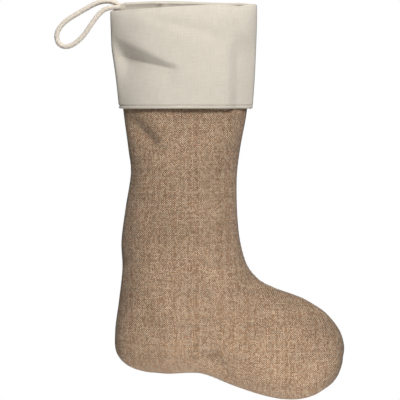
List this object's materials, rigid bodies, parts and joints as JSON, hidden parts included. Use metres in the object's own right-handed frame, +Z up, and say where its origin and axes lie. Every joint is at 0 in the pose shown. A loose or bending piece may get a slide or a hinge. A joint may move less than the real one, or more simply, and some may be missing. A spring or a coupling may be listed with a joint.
{
  "type": "hanging stocking",
  "caption": "Lined fabric stocking with a broad folded cotton cuff and a cord loop to hang it by, open at the mouth to hold small gifts.",
  "frame": {"origin": "root of the hanging loop, where both ends of its cord fold over the cuff's rim at the heel-side corner; the loop turns about this point", "axes": "+Z up towards the mouth, +X from the heel side to the toe, +Y from the front panel to the back panel; the seams lie in the plane Y = 0"},
  "size_m": [0.3357, 0.083, 0.4626],
  "materials": {
    "shell_linen": "coarse plain weave of tan, brown and pale threads",
    "lining_cotton": "thin plain cotton",
    "cuff_twill": "cream cotton twill, matt",
    "cord_cotton": "braided cotton cord",
    "thread_cream": "cotton sewing thread",
    "thread_tan": "cotton sewing thread"
  },
  "bodies": {
    "stocking": {"shell_front": "shell_linen", "shell_back": "shell_linen", "lining_front": "lining_cotton", "lining_back": "lining_cotton", "cuff_front": "cuff_twill", "cuff_back": "cuff_twill", "loop_tails": "cord_cotton", "loop_tack_thread": "thread_cream", "shell_seam_thread": "thread_tan", "lining_seam_thread": "thread_cream", "cuff_hem_topstitch": "thread_cream", "cuff_seam_thread_heel_side": "thread_cream", "cuff_seam_thread_toe_side": "thread_cream", "mouth_seam_thread": "thread_cream"},
    "loop": {"hanging_loop": "cord_cotton"}
  },
  "joints": [
    {"name": "loop_swing", "type": "hinge", "parent": "stocking", "child": "loop", "pos_m": [0, 0, 0], "axis": [0, 1, 0], "range_deg": [0, 150]}
  ]
}
